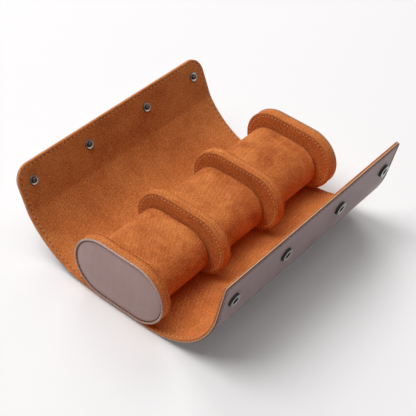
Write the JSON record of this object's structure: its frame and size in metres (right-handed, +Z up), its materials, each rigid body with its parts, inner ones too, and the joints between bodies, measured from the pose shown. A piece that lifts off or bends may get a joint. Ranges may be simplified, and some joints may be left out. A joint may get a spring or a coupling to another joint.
{
  "type": "watch travel case",
  "caption": "Leather roll case for watches: two flaps with press snaps round stadium discs and lift-out suede cushions, shown lying open.",
  "frame": {"origin": "on the table below the middle of the roll, halfway between the end caps", "axes": "+X along the roll to the far end cap, +Y to the back flap with the snap studs, +Z up"},
  "size_m": [0.2074, 0.1898, 0.0822],
  "materials": {
    "outer_leather": "smooth mauve-grey leather",
    "suede_lining": "cognac suede",
    "disc_suede": "cognac suede on the discs",
    "cushion_suede": "brushed cognac suede",
    "cap_leather": "crowned mauve-grey leather",
    "board": "pressed board",
    "foam": "soft foam",
    "gunmetal": "dark gunmetal plate",
    "snap_steel": "worn steel"
  },
  "bodies": {
    "base": {"base_leather": "outer_leather", "base_lining": "suede_lining", "near_cap_suede": "disc_suede", "near_cap_core": "board", "near_cap_band": "disc_suede", "near_cap_leather": "cap_leather", "far_cap_suede": "disc_suede", "far_cap_core": "board", "far_cap_band": "disc_suede", "far_cap_leather": "cap_leather", "divider_1_near_suede": "disc_suede", "divider_1_core": "board", "divider_1_band": "disc_suede", "divider_1_far_suede": "disc_suede", "divider_2_near_suede": "disc_suede", "divider_2_core": "board", "divider_2_band": "disc_suede", "divider_2_far_suede": "disc_suede"},
    "front_1": {"front_panel_1_leather": "outer_leather", "front_panel_1_lining": "suede_lining"},
    "back_1": {"back_panel_1_leather": "outer_leather", "back_panel_1_lining": "suede_lining"},
    "front_2": {"front_panel_2_leather": "outer_leather", "front_panel_2_lining": "suede_lining"},
    "back_2": {"back_panel_2_leather": "outer_leather", "back_panel_2_lining": "suede_lining"},
    "front_3": {"front_panel_3_leather": "outer_leather", "front_panel_3_lining": "suede_lining", "front_socket_1": "snap_steel", "front_socket_washer_1": "snap_steel", "front_socket_2": "snap_steel", "front_socket_washer_2": "snap_steel", "front_socket_3": "snap_steel", "front_socket_washer_3": "snap_steel", "front_socket_4": "snap_steel", "front_socket_washer_4": "snap_steel"},
    "back_3": {"back_panel_3_leather": "outer_leather", "back_panel_3_lining": "suede_lining"},
    "snap_panel": {"snap_panel_leather": "outer_leather", "snap_panel_lining": "suede_lining", "back_stud_1": "gunmetal", "back_snap_cap_1": "gunmetal", "back_stud_2": "gunmetal", "back_snap_cap_2": "gunmetal", "back_stud_3": "gunmetal", "back_snap_cap_3": "gunmetal", "back_stud_4": "gunmetal", "back_snap_cap_4": "gunmetal"},
    "cushion_1": {"cushion_1_core": "foam", "cushion_1_sleeve": "cushion_suede"},
    "cushion_2": {"cushion_2_core": "foam", "cushion_2_sleeve": "cushion_suede"},
    "cushion_3": {"cushion_3_core": "foam", "cushion_3_sleeve": "cushion_suede"}
  },
  "joints": [
    {"name": "front_flap_root", "type": "hinge", "parent": "base", "child": "front_1", "pos_m": [0, -0.0255, 0.003], "axis": [1, 0, 0], "range_deg": [-37.34, 0]},
    {"name": "front_flap_curl", "type": "hinge", "parent": "front_1", "child": "front_2", "pos_m": [0, -0.05114, 0.00911], "axis": [1, 0, 0], "range_deg": [-28.07, 30]},
    {"name": "front_flap_tip", "type": "hinge", "parent": "front_2", "child": "front_3", "pos_m": [0, -0.0708, 0.02663], "axis": [1, 0, 0], "range_deg": [-32.7, 34.95]},
    {"name": "back_flap_root", "type": "hinge", "parent": "base", "child": "back_1", "pos_m": [0, 0.0245, 0.003], "axis": [-1, 0, 0], "range_deg": [-34.84, 0]},
    {"name": "back_flap_curl", "type": "hinge", "parent": "back_1", "child": "back_2", "pos_m": [0, 0.04457, 0.00587], "axis": [-1, 0, 0], "range_deg": [-27.8, 20]},
    {"name": "back_flap_bend", "type": "hinge", "parent": "back_2", "child": "back_3", "pos_m": [0, 0.06543, 0.01587], "axis": [-1, 0, 0], "range_deg": [-21.07, 15.16]},
    {"name": "snap_panel_crease", "type": "hinge", "parent": "back_3", "child": "snap_panel", "pos_m": [0, 0.08432, 0.03453], "axis": [-1, 0, 0], "range_deg": [-31.9, 22.95]},
    {"name": "cushion_1_lift", "type": "slide", "parent": "base", "child": "cushion_1", "axis": [0, 0, 1], "range_m": [0, 0.06]},
    {"name": "cushion_2_lift", "type": "slide", "parent": "base", "child": "cushion_2", "axis": [0, 0, 1], "range_m": [0, 0.06]},
    {"name": "cushion_3_lift", "type": "slide", "parent": "base", "child": "cushion_3", "axis": [0, 0, 1], "range_m": [0, 0.06]}
  ],
  "couplings": [
    {"joint": "front_flap_tip", "follows": "front_flap_curl", "ratio": 1.1646},
    {"joint": "back_flap_bend", "follows": "back_flap_curl", "ratio": 0.75755},
    {"joint": "snap_panel_crease", "follows": "back_flap_curl", "ratio": 1.1471}
  ]
}
